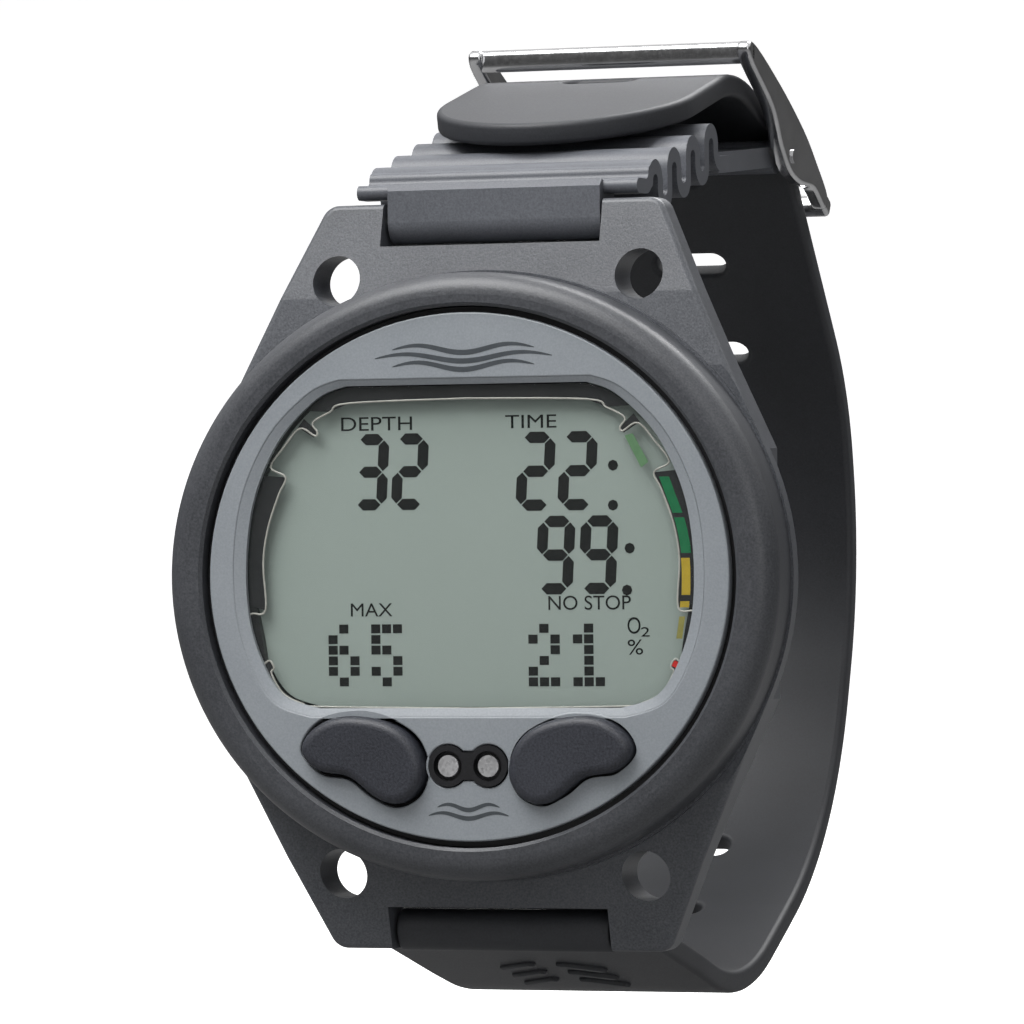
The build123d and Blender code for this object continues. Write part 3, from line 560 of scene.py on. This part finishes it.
def mask_plate():
    """The silvery mask, with rounded rims, and the sloping border round its window."""
    rim = [(29.3 * math.cos(a), 28.0 * math.sin(a)) for a in (k * math.tau / 144 for k in range(144))]
    opening = [eased(x, z, BEVEL) for x, z in window()]
    holes = [kidney(1, 0.45), kidney(-1, 0.45), contact_hole(0.1)]
    face = plate([rim, opening, *holes], MASK_FRONT + 1.3, MASK_FRONT, 0.18)
    levels = [(BEVEL, MASK_FRONT + 0.06), (0.0, PANE_FRONT - 0.05), (0.0, PANE_BACK), (BEVEL + 0.05, PANE_BACK)]
    loops = [[eased(x, z, grow) for x, z in window()] for grow, level in levels]
    count = len(loops[0])
    points = [(x * MM, level * MM, z * MM) for loop, (grow, level) in zip(loops, levels) for x, z in loop]
    faces = []
    for ring in range(4):
        for k in range(count):
            a, b = ring * count, (ring + 1) % 4 * count
            faces.append((a + k, a + (k + 1) % count, b + (k + 1) % count, b + k))
    border = bpy.data.meshes.new("border")
    border.from_pydata(points, [], faces)
    form = bmesh.new()
    form.from_mesh(border)
    bmesh.ops.recalc_face_normals(form, faces=form.faces[:])
    form.to_mesh(border)
    form.free()
    whole = place_piece("mask_plate", smooth(joined([face, border]), 30.0), "case", "silver_mask")
    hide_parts("face_mask")


def small_parts():
    """The lips behind the strap knuckles, and the raised rim of the contact surround."""
    for name, low, high in (("upper_notch_lip", 35.3, 35.82), ("lower_notch_lip", -35.88, -35.3)):
        lip = plate([[(-12.5, low), (12.5, low), (12.5, high), (-12.5, high)]], -9.2, -9.9)
        place_piece(name, lip, "case", "case_plastic")
    ring = plate([contact_hole(0.0), contact_hole(-0.28)], MASK_FRONT + 0.4, MASK_FRONT - 0.12, 0.1)
    place_piece("contact_rim", ring, "case", "black_plastic")


def wave_mark(x, z, wide, tall, thick):
    """A generic mark: one wave line as a closed outline."""
    upper, lower = [], []
    for k in range(33):
        u = k / 32
        middle = z + tall * math.sin(u * math.tau * 1.5)
        half = thick * math.sin(math.pi * u) ** 0.6 + 0.04
        upper.append((x + (u - 0.5) * wide, middle + half))
        lower.append((x + (u - 0.5) * wide, middle - half))
    return upper + lower[::-1]


def mask_marks():
    """Generic wave lines, above the window and below the contacts."""
    loops = [wave_mark(0.0, 23.4 + dz, wide, 0.42, 0.24) for dz, wide in ((0.75, 16.0), (-0.15, 20.0), (-1.05, 16.0))]
    loops += [wave_mark(0.0, -24.9 + dz, wide, 0.30, 0.2) for dz, wide in ((0.55, 7.0), (-0.35, 9.0))]
    place_piece("mask_marks", plate(loops, MASK_FRONT, MASK_FRONT - INK), "case", "silver_mask", LOGO_INK)


display_marks()
display_card()
no_stop_scale()
view_line()
window_pane()
front_glass()
mask_plate()
mask_marks()
small_parts()


# ---------------------------------------------------------------- straps

STRAP_THICK, STRAP_HALF, STRAP_LUG_HALF = 2.5, 14.7, 16.0
STRAP_EDGE = 0.6
STRAP_POINTS = [(-7.4, -38.7), (24.0, -47.6), (59.5, -33.0), (71.2, -0.3), (67.5, 20.3),
                (44.25, 49.3), (27.5, 55.05), (-2.0, 47.7)]
STRAP_RADII = [34.0, 42.0, 44.0, 30.0, 8.0, 20.0]
SLOT_LONG, SLOT_WIDE, SLOT_PITCH = 8.4, 3.0, 13.0
ENGAGED = (46.8, 46.2)
STRAP_PIN = (-10.4, -38.1)
KNUCKLE_R, KNUCKLE_HALF, BORE_R = 2.3, 12.1, 0.85


def path_samples(points, radii, step=0.25):
    """Points along straight runs joined by tangent arcs: (distance, point, direction) in order."""
    line = [Vector(points[0])]
    for before, corner, after, radius in zip(points, points[1:], points[2:], radii):
        corner = Vector(corner)
        a, b = (Vector(before) - corner).normalized(), (Vector(after) - corner).normalized()
        half = a.angle(b) / 2
        start, end = corner + a * radius / math.tan(half), corner + b * radius / math.tan(half)
        centre = corner + (a + b).normalized() * radius / math.sin(half)
        turn = (start - centre).angle_signed(end - centre)
        for k in range(41):
            angle = -turn * k / 40
            arm = start - centre
            line.append(centre + Vector((arm.x * math.cos(angle) - arm.y * math.sin(angle),
                                         arm.x * math.sin(angle) + arm.y * math.cos(angle))))
    line.append(Vector(points[-1]))
    samples, travelled = [], 0.0
    for a, b in zip(line, line[1:]):
        run = (b - a).length
        if run < 1e-6:
            continue
        pieces = max(1, int(run / step))
        samples += [(travelled + run * k / pieces, a.lerp(b, k / pieces), (b - a) / run) for k in range(pieces)]
        travelled += run
    samples.append((travelled, line[-1], samples[-1][2]))
    return samples


def bent(mesh, samples, cut=1.6):
    """Cuts a flat mesh (X along, Y across, Z thick; metres) into short lengths and bends it along a path."""
    form = bmesh.new()
    form.from_mesh(mesh)
    total = samples[-1][0]
    for k in range(1, int(total / cut)):
        everything = form.verts[:] + form.edges[:] + form.faces[:]
        bmesh.ops.bisect_plane(form, geom=everything, plane_co=(k * cut * MM, 0, 0), plane_no=(1, 0, 0), dist=1e-7)
    distances = [s[0] for s in samples]
    for vert in form.verts:
        along = min(max(vert.co.x / MM, 0.0), total)
        low = min(bisect.bisect_right(distances, along) - 1, len(samples) - 2)
        a, b = samples[low], samples[low + 1]
        share = (along - a[0]) / (b[0] - a[0])
        point = a[1].lerp(b[1], share)
        direction = a[2].lerp(b[2], share).normalized()
        outward = Vector((direction.y, -direction.x)) * vert.co.z / MM
        vert.co = Vector((vert.co.y, (point.x + outward.x) * MM, (point.y + outward.y) * MM))
    bmesh.ops.recalc_face_normals(form, faces=form.faces[:])
    form.to_mesh(mesh)
    form.free()
    return smooth(mesh, 40.0)


def flat_plate(loops, low, high, edge):
    """A plate lying flat, for bending: outlines in X and Y, thickness in Z."""
    mesh = plate(loops, high, low, edge)
    mesh.transform(facing((low + high) / 2).inverted())
    mesh.transform(Matrix.Translation((0, 0, (low + high) / 2 * MM)))
    return mesh


def prism(loops, x_low, x_high, edge):
    """A piece with outlines in Y and Z, between two levels of X, with rounded rims."""
    mesh = flat_plate(loops, x_low, x_high, edge)
    mesh.transform(Matrix(((0, 0, 1, 0), (1, 0, 0, 0), (0, 1, 0, 0), (0, 0, 0, 1))))
    return smooth(mesh)


def circle(x, z, radius, count=40):
    return [(x + radius * math.cos(k * math.tau / count), z + radius * math.sin(k * math.tau / count))
            for k in range(count)]


def slot_loop(along, across=0.0, long=SLOT_LONG, wide=SLOT_WIDE):
    """A slot across the strap, as a closed outline."""
    straight, radius = (long - wide) / 2, wide / 2
    loop = []
    for sign in (1, -1):
        for k in range(13):
            angle = math.pi * k / 12
            loop.append((along + sign * radius * math.cos(angle), across + sign * (straight + radius * math.sin(angle))))
    return loop


def slotted_strap():
    """The long strap: a flat pattern with slots and raised ribs, bent round the wrist, and its knuckle."""
    samples = path_samples(STRAP_POINTS, STRAP_RADII)
    total = samples[-1][0]
    engaged = min(samples, key=lambda s: (s[1] - Vector(ENGAGED)).length)[0]
    tip = total - STRAP_HALF
    edge = [(0.0, STRAP_LUG_HALF), (16.0, STRAP_LUG_HALF), (53.0, STRAP_HALF), (tip, STRAP_HALF)]
    turns = [k * math.pi / 40 for k in range(1, 40)]
    arc = [(tip + STRAP_HALF * math.sin(a), STRAP_HALF * math.cos(a)) for a in turns]
    outline = edge + arc + [(x, -y) for x, y in reversed(edge)]
    places = [engaged + k * SLOT_PITCH for k in range(-8, 3)]
    slots = [slot_loop(place) for place in places if 26.0 < place < total - 3]
    half = STRAP_THICK / 2
    sheet = bent(flat_plate([outline, *slots], -half, half, STRAP_EDGE), samples)
    ribs = []
    for along in (9.0, 13.0, 17.0):
        for sign in (1, -1):
            ends = [(along, sign * 1.2), (along + 3.0, sign * 6.2)]
            ribs.append(stroke(*ends, 1.3, 0.0))
    raised = bent(flat_plate(ribs, half - 0.3, half + 0.45, 0.3), samples)
    knuckle = [(-7.0, -36.9), (-7.4, -37.4), (-6.9, -39.9), (-10.4, -40.35)]
    arc = [(STRAP_PIN[0] - KNUCKLE_R * math.sin(a), STRAP_PIN[1] - KNUCKLE_R * math.cos(a))
           for a in (k * math.pi / 20 for k in range(1, 20))]
    root = prism([[(-10.4, -35.85), (-8.9, -36.0), *knuckle, *arc], circle(*STRAP_PIN, BORE_R)],
                 -KNUCKLE_HALF, KNUCKLE_HALF, 0.25)
    strap = place_piece("slotted_strap", smooth(joined([sheet, raised, root]), 40.0), "buckled_strap", "strap_rubber")
    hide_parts("long_strap", "long_strap_end")


slotted_strap()


# ---------------------------------------------------------------- buckle

FRONT_BAR, REAR_BAR = Vector((26.8, 57.9)), Vector((54.3, 41.8))
BUCKLE_INNER, BUCKLE_OUTER, BAR_ROUND = 15.2, 16.8, 0.7


def bar(centre, deep, tall, lean=0.0):
    """A cross bar of the buckle, with rounded edges: its outline in Y and Z, turned by lean."""
    corners = [(deep / 2, tall / 2), (-deep / 2, tall / 2), (-deep / 2, -tall / 2), (deep / 2, -tall / 2)]
    loop = []
    for quarter, (y, z) in enumerate(corners):
        for k in range(7):
            angle = (quarter + k / 6) * math.pi / 2
            loop.append((y - math.copysign(BAR_ROUND, y) + BAR_ROUND * math.cos(angle),
                         z - math.copysign(BAR_ROUND, z) + BAR_ROUND * math.sin(angle)))
    lean_y, lean_z = Vector((math.cos(lean), math.sin(lean))), Vector((-math.sin(lean), math.cos(lean)))
    turned = [tuple(Vector(centre) + y * lean_y + z * lean_z) for y, z in loop]
    return prism([turned], -BUCKLE_OUTER, BUCKLE_OUTER, 0.5)


def buckle():
    """The buckle: two cross bars, and side plates that drop to the pin."""
    along = (REAR_BAR - FRONT_BAR).normalized()
    out = Vector((-along.y, along.x))
    bars = [bar(FRONT_BAR, 1.5, 2.5), bar(REAR_BAR, 2.2, 2.2, math.atan2(along.y, along.x))]
    shape = [(-0.4, 1.15), (10.0, 2.5), (20.0, 2.8), (26.0, 2.1), (31.0, 1.05), (31.0, -1.05), (26.5, -1.2),
             (21.8, -3.4), (18.0, -4.3), (14.0, -3.5), (9.0, -1.5), (-0.4, -1.15)]
    loop = curved([tuple(FRONT_BAR + along * a + out * o) for a, o in shape], True, 5)
    plates = [prism([loop], *sorted((sign * BUCKLE_INNER, sign * BUCKLE_OUTER)), 0.4) for sign in (1, -1)]
    frame_piece = place_piece("buckle_ring", smooth(joined([*bars, *plates]), 40.0), "buckled_strap", "steel")
    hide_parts("buckle_frame")


buckle()


# ---------------------------------------------------------------- camera and studio

def camera():
    """The view of the reference: 20 degrees round to the right, level, with a slight roll."""
    data = bpy.data.cameras.new("camera")
    data.lens, data.sensor_width = 232.8, 36.0
    data.clip_start, data.clip_end = 0.05, 10.0
    holder = bpy.data.objects.new("camera", data)
    bpy.context.scene.collection.objects.link(holder)
    turn, roll = math.radians(20.0), math.radians(-0.7)
    right = Vector((math.cos(turn), math.sin(turn), 0.0))
    back = Vector((math.sin(turn), -math.cos(turn), 0.0))
    axes = Matrix((right, (0, 0, 1), back)).transposed().to_4x4()
    holder.matrix_world = Matrix.Translation((0.2441, -0.6786, 0.0068)) @ axes @ Matrix.Rotation(roll, 4, "Z")
    bpy.context.scene.camera = holder


def softbox(name, place, target, size, watts):
    """A soft square light that looks at a point."""
    data = bpy.data.lights.new(name, "AREA")
    data.shape, data.size, data.energy = "SQUARE", size, watts
    lamp = bpy.data.objects.new(name, data)
    bpy.context.scene.collection.objects.link(lamp)
    lamp.location = place
    lamp.rotation_mode = "QUATERNION"
    lamp.rotation_quaternion = (Vector(target) - Vector(place)).to_track_quat("-Z", "Y")


def seen(tree, colour, direct):
    """One colour for the light that falls on the part, another where the backdrop itself is in view."""
    path = add(tree, "ShaderNodeLightPath")
    mixed = add(tree, "ShaderNodeMix", data_type="RGBA")
    tree.links.new(path.outputs["Is Camera Ray"], mixed.inputs["Factor"])
    tree.links.new(colour, mixed.inputs["A"])
    mixed.inputs["B"].default_value = (*direct, 1.0)
    return mixed.outputs["Result"]


def studio():
    """A pale floor that curves up into a backdrop."""
    low = cad_box[0].z - 0.028
    start, bend = 2.4, 0.5
    profile = [(-2.4, 0.0), (start, 0.0)]
    turns = [k * math.pi / 24 for k in range(1, 13)]
    profile += [(start + bend * math.sin(a), bend - bend * math.cos(a)) for a in turns]
    profile.append((start + bend, 1.6))
    mesh = bpy.data.meshes.new("floor")
    points = [(x, y, low + z) for y, z in profile for x in (-2.6, 2.6)]
    faces = [(2 * k, 2 * k + 1, 2 * k + 3, 2 * k + 2) for k in range(len(profile) - 1)]
    mesh.from_pydata(points, [], faces)
    paper, tree, shader = new_material("floor_paper")
    fibre = noise(tree, 3.0)
    tree.links.new(seen(tree, ramp(tree, fibre, [(0.3, (0.20,) * 3), (0.7, (0.22,) * 3)]), (0.98,) * 3),
                   shader.inputs["Base Color"])
    glow = add(tree, "ShaderNodeMath", operation="MULTIPLY")
    tree.links.new(add(tree, "ShaderNodeLightPath").outputs["Is Camera Ray"], glow.inputs[0])
    glow.inputs[1].default_value = 0.6
    tree.links.new(glow.outputs["Value"], shader.inputs["Emission Strength"])
    shader.inputs["Emission Color"].default_value = (1.0, 1.0, 1.0, 1.0)
    shader.inputs["Roughness"].default_value = 0.9
    shader.inputs["Specular IOR Level"].default_value = 0.0
    mesh.materials.append(paper)
    floor = bpy.data.objects.new("floor", smooth(mesh, 60.0))
    bpy.context.scene.collection.objects.link(floor)
    world = bpy.data.worlds.new("studio")
    world.use_nodes = True
    tree = world.node_tree
    place = add(tree, "ShaderNodeTexCoord")
    split = add(tree, "ShaderNodeSeparateXYZ")
    tree.links.new(place.outputs["Generated"], split.inputs["Vector"])
    height = add(tree, "ShaderNodeMapRange")
    height.inputs["From Min"].default_value = -1.0
    tree.links.new(split.outputs["Z"], height.inputs["Value"])
    stops = [(0.0, (0.10,) * 3), (0.45, (0.05,) * 3), (0.60, (0.10,) * 3), (0.75, (0.9,) * 3)]
    dome = ramp(tree, height.outputs["Result"], stops)
    tree.links.new(seen(tree, dome, (1.0,) * 3), tree.nodes["Background"].inputs["Color"])
    bpy.context.scene.world = world
    softbox("key", (-0.10, -0.17, 0.31), (0, -0.01, 0), 0.24, 1.75)
    softbox("fill", (0.6, -0.9, 0.2), (0, 0, 0), 0.5, 1.2)
    softbox("rim", (0.1, 0.5, 0.7), (0, 0, 0.03), 0.4, 6.0)
    bpy.context.scene.view_settings.view_transform = "Standard"


camera()
studio()
